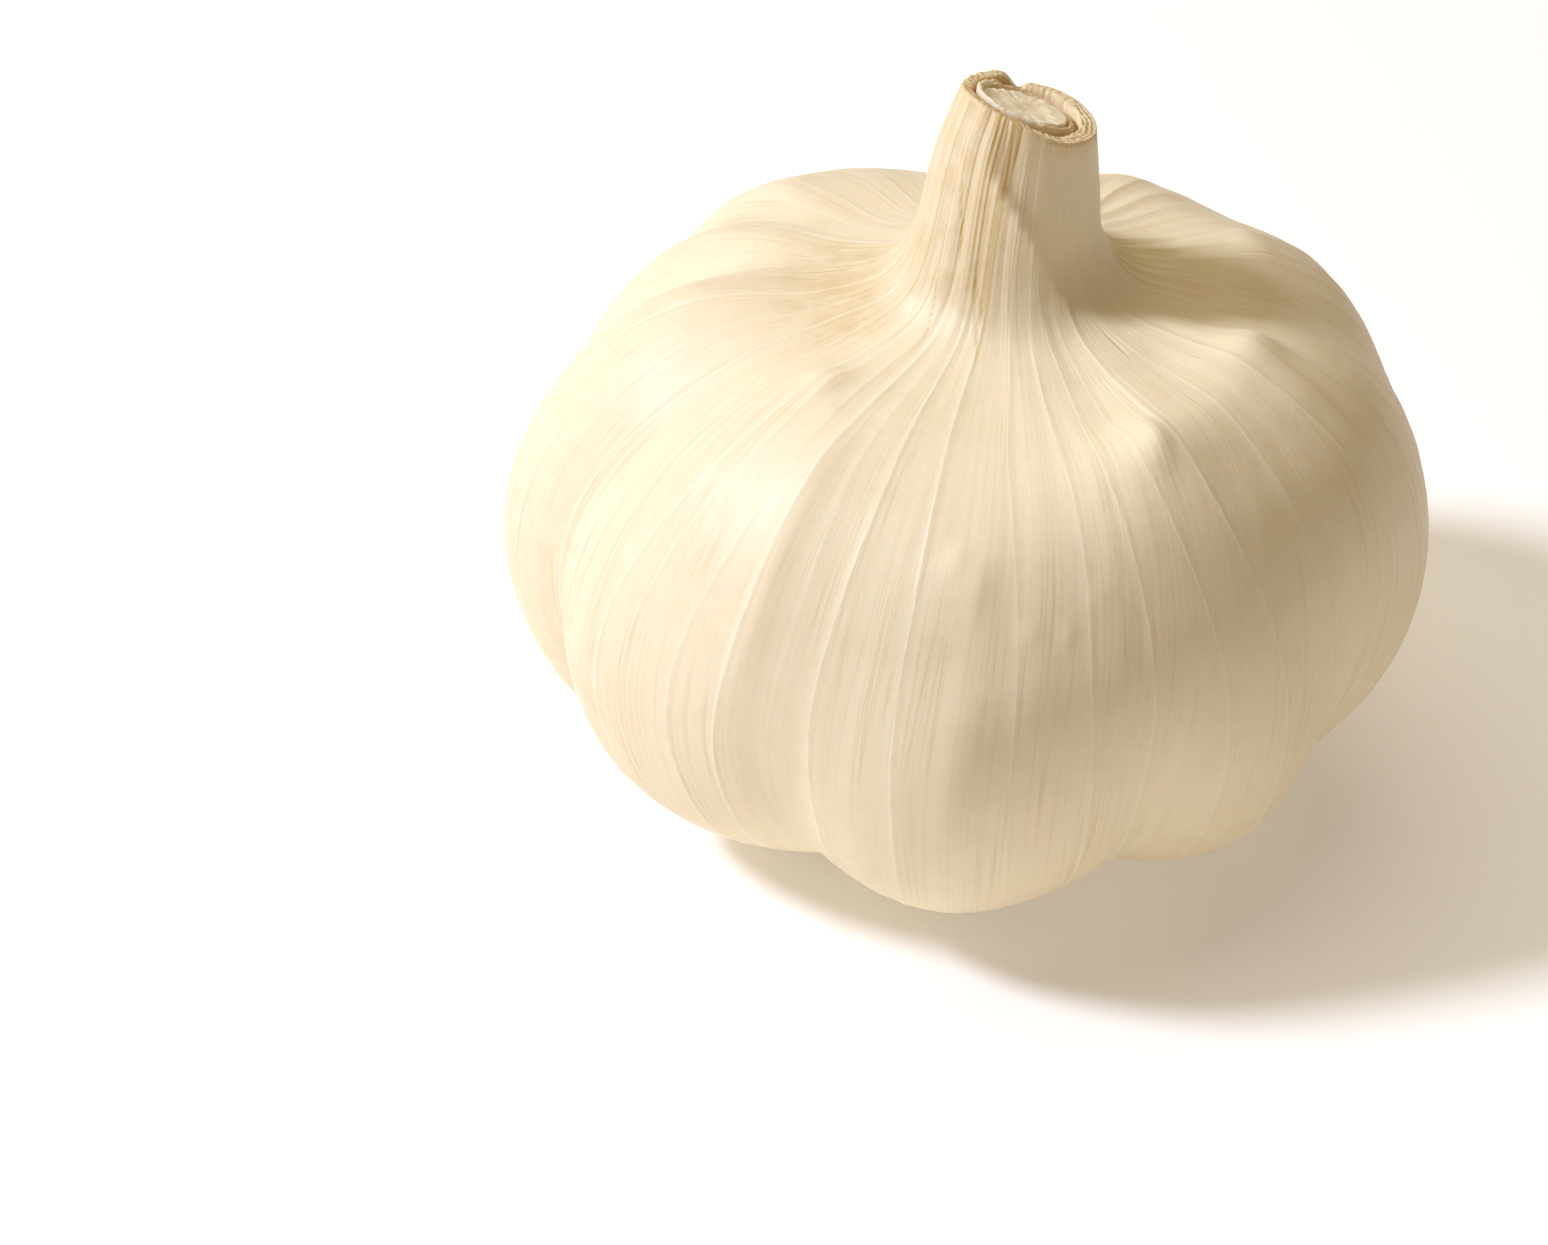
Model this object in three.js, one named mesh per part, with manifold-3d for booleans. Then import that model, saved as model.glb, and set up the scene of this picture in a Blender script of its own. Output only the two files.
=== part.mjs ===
// A whole garlic bulb, standing on its root plate with its neck cut short.
//
// One papery skin is drawn tight over the cloves and gathered above them into the neck. In the
// neck's cut end stand the inner sheath, a rolled leaf, and the pale heart of the stem. Under the
// bulb, in a shallow recess of the skin, sits the corky root plate with its trimmed roots.
//
// Lengths are millimetres and angles are degrees. +Z is up, and the origin is the middle of the
// flat spot that the bulb rests on. Azimuth 0 is the front, towards -Y, and azimuths grow
// towards +X. Stations count the points of the skin's profile, from the root plate to the cut.

import * as THREE from 'three';
import { ParametricGeometry } from 'three/addons/geometries/ParametricGeometry.js';
import { mergeVertices } from 'three/addons/utils/BufferGeometryUtils.js';
import Module from 'manifold-3d';

const { clamp, degToRad, euclideanModulo, inverseLerp, lerp, seededRandom, smoothstep } = THREE.MathUtils;

// ---- Skin ------------------------------------------------------------------------------------

// Radius and height of the skin in the valleys between cloves, one pair for each station 0 to 12.
const SKIN_PROFILE = [
  [10.5, 2.6], [15.5, 3.2], [22.0, 5.2], [27.8, 10.8], [31.2, 19.5], [30.8, 27.8], [26.8, 34.6],
  [20.2, 38.9], [13.6, 40.7], [9.0, 42.3], [6.8, 45.6], [5.8, 51.0], [4.7, 56.2],
];
const CUT_STATION = SKIN_PROFILE.length - 1;
const CUT_HEIGHT = SKIN_PROFILE[CUT_STATION][1];

// The cloves under the skin, round the bulb from the front. crest is the azimuth of a clove's back
// at the belly, left and right are how far it reaches to the valleys beside it, and swell is how
// far it lifts the skin. tip is the azimuth and end the station where the clove ends, knob is the
// height of the bump that its tip makes, foot is how late it starts, in stations, and fade is how
// much of its swell is gone at the crown.
const CLOVES = [
  { crest: -5, left: 22, right: 29, swell: 2.8, tip: -5, end: 5.85, knob: 0.3, foot: 0.0, fade: 0.72 },
  { crest: 41, left: 17, right: 17, swell: 2.8, tip: 26, end: 7.0, knob: 0.9, foot: 0.8, fade: 0.8 },
  { crest: 82, left: 24, right: 18, swell: 3.3, tip: 69, end: 7.3, knob: 0.7, foot: 1.7, fade: 0.68 },
  { crest: 122, left: 17, right: 16, swell: 2.3, tip: 118, end: 7.0, knob: 0.4, foot: 0.5, fade: 0.55 },
  { crest: 156, left: 19, right: 16, swell: 2.0, tip: 155, end: 6.8, knob: 0.3, foot: 0.0, fade: 0.55 },
  { crest: 222, left: 34, right: 13, swell: 4.5, tip: 223, end: 6.7, knob: 0.4, foot: 0.0, fade: 0.4 },
  { crest: 243, left: 11, right: 10, swell: 3.6, tip: 242, end: 6.7, knob: 0.2, foot: 0.0, fade: 0.4 },
  { crest: 267, left: 14, right: 18, swell: 4.7, tip: 268, end: 6.8, knob: 0.3, foot: 0.0, fade: 0.4 },
  { crest: 298, left: 14, right: 35, swell: 2.8, tip: 313.5, end: 7.4, knob: 0.5, foot: 0.2, fade: 0.6 },
];
const CREST_POWER = 1.7;
const WIDEST_REACH = 2.5;
const TIP_TURN_STATION = 3.0;
const KNOB_REACH = { left: 3.0, right: 1.2, above: 1.4, below: 1.8 };
const STATION_LENGTH = 6.5;

// Stations over which a clove's swelling rises from its foot, fades towards the crown and stops at
// its end. The first pair counts from the foot and the last from the end.
const SWELL_RISE = { from: -0.3, to: 2.4 };
const SWELL_FADE = { from: 2.4, to: 5.5 };
const SWELL_STOP = { from: -0.6, to: 1.5 };

// How softly the skin bridges the valleys between cloves, in millimetres, and how that changes
// over the stations.
const BRIDGE_AT_ROOT = 0.04;
const BRIDGE_CHANGES = [
  { from: 0, to: 2, change: 0.22 },
  { from: 2, to: 5.5, change: 0.5 },
  { from: 6, to: 8.3, change: -0.72 },
];

// The creases that the skin makes over the edges of the cloves under it. Each follows a line of
// stations and azimuths from its foot up. left and right are how fast it falls off to its sides,
// and runOut is how slowly it starts at its foot, in stations. The last one is the lap of the skin
// in the front of the neck.
const CREASES = [
  {
    height: 0.75,
    left: 3.5,
    right: 2.4,
    runOut: 1.6,
    line: [[4.2, -35.5], [4.8, -34], [5.4, -33.5], [6.0, -34], [6.9, -34.5]],
  },
  {
    height: 1.0,
    left: 7.0,
    right: 4.5,
    runOut: 1.4,
    line: [[2.8, -3.5], [3.6, -3.5], [4.9, -4.5]],
  },
  {
    height: 1.1,
    left: 6.0,
    right: 5.0,
    runOut: 0.7,
    line: [[6.1, 20.5], [6.3, 21], [6.6, 22.5], [7.0, 26.5]],
  },
  {
    height: 0.6,
    left: 6.0,
    right: 4.5,
    runOut: 1.0,
    line: [[5.0, 63], [5.6, 60], [6.4, 59], [6.9, 60]],
  },
  {
    height: 0.5,
    left: 3.0,
    right: 0.5,
    runOut: 1.0,
    line: [[9.6, 28], [10.15, 20], [10.6, 9], [10.95, -7], [11.25, -24], [11.7, -27]],
  },
];
const CREASE_ROUNDING = 0.1;
const CREASE_SOFT_FOOT = 0.2;
const CREASE_TOP = 0.35;

// The edge of the flat top that the skin makes where it is stretched between two tips. reachIn and
// reachOut are how fast it falls off towards the neck and towards the belly, in stations.
const TENT = {
  start: { azimuth: 27, station: 7.0 },
  end: { azimuth: 69, station: 7.3 },
  height: 1.0,
  reachIn: 0.9,
  reachOut: 0.45,
  rounding: 0.2,
  fade: 6,
};

// The ribs that the skin is gathered into at the neck, strongest on the left.
const RIB_COUNT = 24;
const RIB_HEIGHT = 0.06;
const RIB_DRIFT = 0.9;
const RIB_DRIFT_WAVES = 3;
const RIB_STRONG_AZIMUTH = -70;
const RIB_START = 7.0;
const RIB_FULL = 9.6;

// The bulb's axis leans to the right below the crown, and once more along the neck.
const BULB_LEAN = { shift: 2.1, from: 16, to: 42 };
const NECK_LEAN = { shift: 1.7, from: 44, to: 62 };

// The cut slants: it falls to the right and to the back. Its rim waves up and down, and the
// deepest wave is a notch at the back.
const CUT_FALL_RIGHT = 0.4;
const CUT_FALL_BACK = 0.145;
const SLANT_STATION = 9.5;
const WAVE_STATION = 11;
const RIM_WAVES = [
  { azimuth: -105, halfWidth: 32, height: -0.4 },
  { azimuth: 25, halfWidth: 32, height: -0.45 },
  { azimuth: 132, halfWidth: 40, height: 0.4 },
  { azimuth: 175, halfWidth: 12, height: -0.15 },
  { azimuth: 188, halfWidth: 7, height: -0.75 },
  { azimuth: 206, halfWidth: 12, height: 0.2 },
];

// Steps of the skin's grid.
const SKIN_AROUND = 120;
const SKIN_ROWS = 37;

// ---- Neck's socket, inner sheath and heart ----------------------------------------------------

// All three share one axis, set to the left of the neck's own, so the skin is thickest on the right.
const GAP = 0.3;
const SOCKET_RADIUS = 3.8;
const SOCKET_DEPTH = 4.5;
const SOCKET_LEFT = 0.25;
const LIP = 0.15;
const SHEATH_WALL = 0.8;
const SHEATH_ROUNDING = 0.2;
const SHEATH_AROUND = 48;
const SHEATH_RISE = { highest: 0.4, lowest: -0.5, azimuth: -60 };
const HEART_RADIUS = SOCKET_RADIUS - 2 * GAP - SHEATH_WALL;
const HEART_EDGE_DEPTH = 0.3;
const HEART_MIDDLE_DEPTH = 0.65;
const HEART_ROUGHNESS = 0.06;
// Ripples of the heart's top: how many go round it, and how many radians each turns on its way out.
const HEART_RIPPLES = [{ around: 5, twist: 4 }, { around: 8, twist: -7 }];
const HEART_AROUND = 40;
const HEART_RINGS = 5;

// ---- Root plate -------------------------------------------------------------------------------

const RECESS_RADIUS = 10.2;
const RECESS_CEILING = 4.5;
const REST_RADIUS = 6.3;
const PLATE_AROUND = 48;
// Radius and height, from the middle of the flat spot outwards and up to the recess.
const PLATE_PROFILE = [
  [0, 0], [REST_RADIUS, 0], [REST_RADIUS + 0.3, 0.25], [7.4, 1.1], [9.2, 1.6],
  [RECESS_RADIUS - GAP, 2.4], [RECESS_RADIUS - GAP, RECESS_CEILING - 2 * GAP],
  [RECESS_RADIUS - 2 * GAP, RECESS_CEILING - GAP], [0, RECESS_CEILING - GAP],
];
const ROOT_SEED = 11;
const ROOT_SIDES = 5;
const ROOT_RINGS = [
  { radius: 7.25, count: 19 },
  { radius: 8.3, count: 23 },
  { radius: 9.25, count: 26 },
];
const ROOT_TOP = 2.6;
const ROOT_END = { lowest: 0.25, highest: 1.0 };
const ROOT_RADIUS = { least: 0.38, most: 0.58 };
const ROOT_TAPER = 0.85;
const ROOT_SPLAY = { least: 2, most: 18 };
const ROOT_JITTER = 0.25;

// ---- Shape of the skin ------------------------------------------------------------------------

const meridian = new THREE.SplineCurve(SKIN_PROFILE.map(([radius, z]) => new THREE.Vector2(radius, z)));

// The shortest way round from one azimuth to another, -180 to 180.
function turn(from, to) {
  return euclideanModulo(to - from + 180, 360) - 180;
}

// How far the cloves lift the skin: each clove is a swelling that fades to both sides, and where
// two meet the skin bridges the valley between them, as a smooth maximum of the two.
function cloveSwelling(azimuth, station) {
  let bridge = BRIDGE_AT_ROOT;
  for (const { from, to, change } of BRIDGE_CHANGES) {
    bridge += change * smoothstep(station, from, to);
  }
  let sum = 0;
  for (const clove of CLOVES) {
    const bend = smoothstep(station, TIP_TURN_STATION, clove.end);
    const crest = clove.crest + turn(clove.crest, clove.tip) * bend;
    const away = turn(crest, azimuth);
    const reach = Math.min(away < 0 ? -away / clove.left : away / clove.right, WIDEST_REACH);
    const fullness = smoothstep(station, clove.foot + SWELL_RISE.from, clove.foot + SWELL_RISE.to)
      * (1 - clove.fade * smoothstep(station, SWELL_FADE.from, SWELL_FADE.to))
      * (1 - smoothstep(station, clove.end + SWELL_STOP.from, clove.end + SWELL_STOP.to));
    sum += Math.exp(clove.swell * fullness * (1 - reach ** CREST_POWER) / bridge);
  }
  return bridge * Math.log(sum);
}

// The bump over each clove's tip, steep on its right and towards the neck.
function tipKnobs(azimuth, station, radius) {
  let height = 0;
  for (const clove of CLOVES) {
    const aside = degToRad(turn(clove.tip, azimuth)) * radius;
    const along = (station - clove.end) * STATION_LENGTH;
    const across = aside / (aside < 0 ? KNOB_REACH.left : KNOB_REACH.right);
    const fall = along / (along > 0 ? KNOB_REACH.above : KNOB_REACH.below);
    height += clove.knob * Math.exp(-(across ** 2) - fall ** 2);
  }
  return height;
}

// The azimuth of a crease's line at a station.
function lineAzimuth(line, station) {
  let azimuth = line[0][1];
  for (let i = 1; i < line.length; i += 1) {
    const share = clamp(inverseLerp(line[i - 1][0], line[i][0], station), 0, 1);
    azimuth += (line[i][1] - line[i - 1][1]) * share;
  }
  return azimuth;
}

// A crease's section: 1 on its line, falling off to both sides, with its edge rounded.
function creaseSection(aside, left, right, rounding) {
  const away = Math.hypot(aside, rounding) - rounding;
  return Math.exp(-away / (aside < 0 ? left : right));
}

// How far the creases lift the skin. A crease starts sharply at its top and runs out softly at its
// foot, its edge rounding off as it fades. The tent's edge is such a crease round the crown.
function skinCreases(azimuth, station, radius) {
  let height = 0;
  for (const crease of CREASES) {
    const foot = crease.line[0][0];
    const top = crease.line[crease.line.length - 1][0];
    const aside = degToRad(turn(lineAzimuth(crease.line, station), azimuth)) * radius;
    const start = smoothstep(station, foot - crease.runOut, foot + crease.runOut);
    const present = start * (1 - smoothstep(station, top - CREASE_TOP, top + CREASE_TOP));
    const rounding = CREASE_ROUNDING * (crease.left + crease.right) / lerp(CREASE_SOFT_FOOT, 1, start);
    height += crease.height * present * creaseSection(aside, crease.left, crease.right, rounding);
  }
  const here = turn(0, azimuth);
  const { start, end } = TENT;
  const tent = smoothstep(here, start.azimuth - TENT.fade, start.azimuth + TENT.fade)
    * (1 - smoothstep(here, end.azimuth - TENT.fade, end.azimuth + TENT.fade));
  const share = clamp(inverseLerp(start.azimuth, end.azimuth, here), 0, 1);
  const inwards = station - lerp(start.station, end.station, share);
  return height + TENT.height * tent * creaseSection(inwards, TENT.reachOut, TENT.reachIn, TENT.rounding);
}

// The gathered ribs of the neck, which run out over the shoulders.
function neckRibs(azimuth, station) {
  const angle = degToRad(azimuth);
  const wave = Math.cos(RIB_COUNT * angle + RIB_DRIFT * Math.sin(RIB_DRIFT_WAVES * angle));
  const strength = (0.5 + 0.5 * Math.cos(angle - degToRad(RIB_STRONG_AZIMUTH))) ** 2;
  return RIB_HEIGHT * strength * wave * smoothstep(station, RIB_START, RIB_FULL);
}

// Height of the slanted cut over its middle, at a point of the neck.
function cutSlant(azimuth, radius) {
  const angle = degToRad(azimuth);
  return radius * (CUT_FALL_BACK * Math.cos(angle) - CUT_FALL_RIGHT * Math.sin(angle));
}

// How far the rim of the cut waves up or down.
function rimWaves(azimuth) {
  let height = 0;
  for (const wave of RIM_WAVES) {
    height += wave.height * Math.exp(-((turn(wave.azimuth, azimuth) / wave.halfWidth) ** 2));
  }
  return height;
}

// A point at a radius from the leaning axis.
function placeOnAxis(azimuth, radius, height, target, left = 0) {
  const angle = degToRad(azimuth);
  const lean = BULB_LEAN.shift * smoothstep(height, BULB_LEAN.from, BULB_LEAN.to)
    + NECK_LEAN.shift * smoothstep(height, NECK_LEAN.from, NECK_LEAN.to);
  return target.set(radius * Math.sin(angle) + lean - left, -radius * Math.cos(angle), height);
}

// A point of the outside of the skin.
function skinPoint(azimuth, station, target) {
  const base = meridian.getPoint(station / CUT_STATION);
  const along = meridian.getTangent(station / CUT_STATION);
  const lift = cloveSwelling(azimuth, station) + tipKnobs(azimuth, station, base.x)
    + skinCreases(azimuth, station, base.x) + neckRibs(azimuth, station);
  const radius = base.x + along.y * lift;
  placeOnAxis(azimuth, radius, base.y - along.x * lift, target);
  target.z += cutSlant(azimuth, radius) * smoothstep(station, SLANT_STATION, CUT_STATION)
    + rimWaves(azimuth) * smoothstep(station, WAVE_STATION, CUT_STATION);
  return target;
}

// A point inside the neck, at a depth below the slanted cut.
function neckPoint(azimuth, radius, depth, target) {
  placeOnAxis(azimuth, radius, CUT_HEIGHT - depth, target, SOCKET_LEFT);
  target.z += cutSlant(azimuth, radius);
  return target;
}

// ---- Pieces -----------------------------------------------------------------------------------

// The skin's closed section runs from the middle of the root recess over the outside to the cut,
// and down the socket to the middle of its floor.
function wrappedBulb() {
  const outside = Array.from({ length: SKIN_ROWS + 1 }, (_, row) => (azimuth, target) =>
    skinPoint(azimuth, CUT_STATION * row / SKIN_ROWS, target));
  const socket = (radius, depth, onRim) => (azimuth, target) => {
    neckPoint(azimuth, radius, depth, target);
    target.z += onRim * rimWaves(azimuth);
    return target;
  };
  const rows = [
    (azimuth, target) => target.set(0, 0, RECESS_CEILING),
    (azimuth, target) => placeOnAxis(azimuth, RECESS_RADIUS, RECESS_CEILING, target),
    (azimuth, target) => placeOnAxis(azimuth, RECESS_RADIUS, SKIN_PROFILE[0][1] + GAP, target),
    ...outside,
    socket(SOCKET_RADIUS + 2 * LIP, -LIP, 1),
    socket(SOCKET_RADIUS, LIP, 1),
    socket(SOCKET_RADIUS, SOCKET_DEPTH, 0),
    socket(0, SOCKET_DEPTH, 0),
  ];
  const surface = (u, v, target) => rows[Math.round(v * (rows.length - 1))](360 * (u % 1), target);
  return new ParametricGeometry(surface, SKIN_AROUND, rows.length - 1);
}

// How high the sheath's rim stands over the cut, highest in front on the left.
function sheathRise(azimuth) {
  const front = 0.5 + 0.5 * Math.cos(degToRad(azimuth - SHEATH_RISE.azimuth));
  return lerp(SHEATH_RISE.lowest, SHEATH_RISE.highest, front);
}

// A closed tube of leaf with its cut rim rounded.
function innerSheath() {
  const outer = SOCKET_RADIUS - GAP;
  const inner = outer - SHEATH_WALL;
  const foot = SOCKET_DEPTH - GAP;
  const edge = SHEATH_ROUNDING;
  // Radius, depth below the rim, and whether the point is on the rim or at the foot.
  const section = [
    [inner, foot, 0], [outer, foot, 0], [outer, edge, 1], [outer - edge, 0, 1],
    [inner + edge, 0, 1], [inner, edge, 1], [inner, foot, 0],
  ];
  const surface = (u, v, target) => {
    const azimuth = 360 * (u % 1);
    const [radius, depth, onRim] = section[Math.round(v * (section.length - 1))];
    neckPoint(azimuth, radius, depth - onRim * sheathRise(azimuth), target);
  };
  return new ParametricGeometry(surface, SHEATH_AROUND, section.length - 1);
}

// A plug that fills the sheath, its rough top dished between the sides of the sheath's rim.
function neckHeart() {
  const foot = SOCKET_DEPTH - GAP;
  const rows = [[0, foot], [HEART_RADIUS, foot]];
  for (let ring = HEART_RINGS; ring >= 0; ring -= 1) {
    rows.push([HEART_RADIUS * ring / HEART_RINGS, null]);
  }
  const surface = (u, v, target) => {
    const azimuth = 360 * (u % 1);
    const [radius, depth] = rows[Math.round(v * (rows.length - 1))];
    const out = radius / HEART_RADIUS;
    const angle = degToRad(azimuth);
    let rough = 0;
    for (const { around, twist } of HEART_RIPPLES) {
      rough += HEART_ROUGHNESS * out * Math.cos(around * angle + twist * out);
    }
    const top = lerp(HEART_MIDDLE_DEPTH, HEART_EDGE_DEPTH - sheathRise(azimuth), out ** 2) + rough;
    neckPoint(azimuth, radius, depth ?? top, target);
  };
  return new ParametricGeometry(surface, HEART_AROUND, rows.length - 1);
}

// One trimmed root: a slightly tapered peg from inside the plate down to where it was cut.
function trimmedRoot(radius, azimuth) {
  const thick = lerp(ROOT_RADIUS.least, ROOT_RADIUS.most, seededRandom());
  const end = lerp(ROOT_END.lowest, ROOT_END.highest, seededRandom());
  const splay = degToRad(lerp(ROOT_SPLAY.least, ROOT_SPLAY.most, seededRandom()));
  const length = (ROOT_TOP - end) / Math.cos(splay);
  return new THREE.CylinderGeometry(thick, ROOT_TAPER * thick, length, ROOT_SIDES)
    .translate(0, -length / 2, 0)
    .rotateX(Math.PI / 2 - splay)
    .translate(0, -radius, ROOT_TOP)
    .rotateZ(degToRad(azimuth));
}

// The corky plate, turned from its profile, with the roots joined to it ring by ring.
async function rootPlate() {
  const wasm = await Module();
  wasm.setup();
  const solidOf = (geometry) => {
    geometry.deleteAttribute('normal');
    geometry.deleteAttribute('uv');
    const merged = mergeVertices(geometry);
    return new wasm.Manifold(new wasm.Mesh({
      numProp: 3,
      vertProperties: merged.attributes.position.array,
      triVerts: new Uint32Array(merged.index.array),
    }));
  };
  const profile = PLATE_PROFILE.map(([radius, z]) => new THREE.Vector2(radius, z));
  let plate = solidOf(new THREE.LatheGeometry(profile, PLATE_AROUND).rotateX(Math.PI / 2));
  seededRandom(ROOT_SEED);
  for (const ring of ROOT_RINGS) {
    const step = 360 / ring.count;
    for (let root = 0; root < ring.count; root += 1) {
      const azimuth = step * (root + ROOT_JITTER * (2 * seededRandom() - 1));
      const radius = ring.radius + ROOT_JITTER * (2 * seededRandom() - 1);
      plate = plate.add(solidOf(trimmedRoot(radius, azimuth)));
    }
  }
  const mesh = plate.getMesh();
  return new THREE.BufferGeometry()
    .setAttribute('position', new THREE.BufferAttribute(mesh.vertProperties, 3))
    .setIndex(new THREE.BufferAttribute(mesh.triVerts, 1));
}

// ---- The bulb ---------------------------------------------------------------------------------

function piece(name, geometry, color, roughness) {
  if (!geometry.attributes.normal) {
    geometry.computeVertexNormals();
  }
  const material = new THREE.MeshStandardMaterial({ color, roughness, metalness: 0 });
  const mesh = new THREE.Mesh(geometry, material);
  mesh.name = name;
  return mesh;
}

const garlicBulb = new THREE.Group();
garlicBulb.name = 'garlic_bulb';
garlicBulb.add(
  piece('wrapped_bulb', wrappedBulb(), '#f3e4c4', 0.5),
  piece('inner_sheath', innerSheath(), '#ead3a4', 0.6),
  piece('neck_heart', neckHeart(), '#e4d2ae', 0.75),
  piece('root_plate', await rootPlate(), '#a98d66', 0.9),
);

export default garlicBulb;
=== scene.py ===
"""A whole garlic bulb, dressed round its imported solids.

The skin is one fine veined surface over the cloves, gathered into ribs at the cut neck. In the cut stand
the rolled inner sheath, torn dry layers and the fibrous heart of the stem. The root plate has its own
corky surface, ringed with trimmed roots.

Lengths in the tables are millimetres, and meshes are in metres. Azimuth 0 is the front, towards -Y, and
azimuths grow towards +X, in degrees. Stations count the points of the skin's profile, from 0 at the root
plate to 12 at the cut.
"""
import math

import bpy
import numpy as np
from mathutils import Matrix, Vector


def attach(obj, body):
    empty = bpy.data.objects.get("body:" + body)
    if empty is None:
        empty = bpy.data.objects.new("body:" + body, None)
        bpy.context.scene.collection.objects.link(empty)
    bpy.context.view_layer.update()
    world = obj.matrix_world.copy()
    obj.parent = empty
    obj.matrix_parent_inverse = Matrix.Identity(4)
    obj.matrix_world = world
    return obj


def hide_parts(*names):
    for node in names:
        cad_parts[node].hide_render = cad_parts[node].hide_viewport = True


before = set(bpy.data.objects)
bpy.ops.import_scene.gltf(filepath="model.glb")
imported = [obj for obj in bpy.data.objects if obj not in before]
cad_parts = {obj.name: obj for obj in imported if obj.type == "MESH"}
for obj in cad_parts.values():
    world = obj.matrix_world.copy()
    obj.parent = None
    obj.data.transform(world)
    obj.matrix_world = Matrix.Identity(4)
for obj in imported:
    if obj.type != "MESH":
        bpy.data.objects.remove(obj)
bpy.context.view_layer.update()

MM = 0.001
ROOT = "root"

# ---- The bulb's form, as the solids have it ----------------------

# Radius and height of the skin in the valleys between cloves, one pair for each station.
SKIN_PROFILE = np.array([
    (10.5, 2.6), (15.5, 3.2), (22.0, 5.2), (27.8, 10.8), (31.2, 19.5), (30.8, 27.8), (26.8, 34.6),
    (20.2, 38.9), (13.6, 40.7), (9.0, 42.3), (6.8, 45.6), (5.8, 51.0), (4.7, 56.2),
])
CUT_STATION = len(SKIN_PROFILE) - 1
CUT_HEIGHT = SKIN_PROFILE[-1, 1]

# Crest azimuth, reach to the valley on the left and on the right, swell, tip azimuth, tip station,
# knob height, foot, and how much of the swell is gone at the crown, for each clove from the front.
CLOVES = [
    (-5, 22, 29, 2.8, -5, 5.85, 0.3, 0.0, 0.72),
    (41, 17, 17, 2.8, 26, 7.0, 0.9, 0.8, 0.8),
    (82, 24, 18, 3.3, 69, 7.3, 0.7, 1.7, 0.68),
    (122, 17, 16, 2.3, 118, 7.0, 0.4, 0.5, 0.55),
    (156, 19, 16, 2.0, 155, 6.8, 0.3, 0.0, 0.55),
    (222, 34, 13, 4.5, 223, 6.7, 0.4, 0.0, 0.4),
    (243, 11, 10, 3.6, 242, 6.7, 0.2, 0.0, 0.4),
    (267, 14, 18, 4.7, 268, 6.8, 0.3, 0.0, 0.4),
    (298, 14, 35, 2.8, 313.5, 7.4, 0.5, 0.2, 0.6),
]
CREST_POWER = 1.7
WIDEST_REACH = 2.5
TIP_TURN_STATION = 3.0
# A swelling grows from before its foot to after it, fades over the crown, and ends round its tip.
FOOT_RISE = (0.3, 2.4)
CROWN_FADE = (2.4, 5.5)
TIP_FADE = (0.6, 1.5)
# How softly the skin bridges the valleys: its least, then each change with its first and last station.
BRIDGE_LEAST = 0.04
BRIDGE_CHANGES = [(0.22, 0, 2), (0.5, 2, 5.5), (-0.72, 6, 8.3)]
KNOB_LEFT = 3.0
KNOB_RIGHT = 1.2
KNOB_ABOVE = 1.4
KNOB_BELOW = 1.8
STATION_LENGTH = 6.5

# Creases of the skin: height, how fast it falls off to the left and to the right, the run-out at its foot
# in stations, and the stations and azimuths of its line from the foot up. The last is the lap in the neck.
CREASES = [
    (0.75, 3.5, 2.4, 1.6, (4.2, 4.8, 5.4, 6.0, 6.9), (-35.5, -34, -33.5, -34, -34.5)),
    (1.0, 7.0, 4.5, 1.4, (2.8, 3.6, 4.9), (-3.5, -3.5, -4.5)),
    (1.1, 6.0, 5.0, 0.7, (6.1, 6.3, 6.6, 7.0), (20.5, 21, 22.5, 26.5)),
    (0.6, 6.0, 4.5, 1.0, (5.0, 5.6, 6.4, 6.9), (63, 60, 59, 60)),
    (0.5, 3.0, 0.5, 1.0, (9.6, 10.15, 10.6, 10.95, 11.25, 11.7), (28, 20, 9, -7, -24, -27)),
]
CREASE_ROUNDING = 0.1
CREASE_FADED_SHARPNESS = 0.2
CREASE_TOP = 0.35

# The edge of the skin's flat top, stretched between two tips: height, how fast it falls off inwards and
# outwards in stations, and the azimuth and station of each end.
TENT_HEIGHT = 1.0
TENT_REACH_IN = 0.9
TENT_REACH_OUT = 0.45
TENT_START = (27, 7.0)
TENT_END = (69, 7.3)
TENT_ROUNDING = 0.2
TENT_FADE = 6

RIB_COUNT = 24
RIB_HEIGHT = 0.06
RIB_DRIFT = 0.9
RIB_DRIFT_WAVES = 3
RIB_STRONG_AZIMUTH = -70
RIB_START = 7.0
RIB_FULL = 9.6

CUT_FALL_RIGHT = 0.4
CUT_FALL_BACK = 0.145
SLANT_STATION = 9.5
WAVE_STATION = 11
# Waves of the cut's rim: azimuth, half-width and height. The deepest is a notch at the back.
RIM_WAVES = [
    (-105, 32, -0.4), (25, 32, -0.45), (132, 40, 0.4), (175, 12, -0.15), (188, 7, -0.75), (206, 12, 0.2),
]
# Leans of the axis to the right: shift, and the heights between which it comes about.
LEANS = [(2.1, 16, 42), (1.7, 44, 62)]

SOCKET_RADIUS = 3.8
SOCKET_DEPTH = 4.5
SOCKET_LEFT = 0.25
RECESS_RADIUS = 10.2
RECESS_EDGE = 2.9
RECESS_CEILING = 4.5


def smoothstep(x, low, high):
    """0 below low, 1 above high, and between them the cubic 3t^2 - 2t^3."""
    t = np.clip((x - low) / (high - low), 0, 1)
    return t * t * (3 - 2 * t)


def bell(x):
    """1 at 0, falling to both sides as exp(-x^2)."""
    return np.exp(-np.square(x))


def turn(start, end):
    """The shortest way round from one azimuth to another, -180 to 180."""
    return (end - start + 180) % 360 - 180


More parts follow.
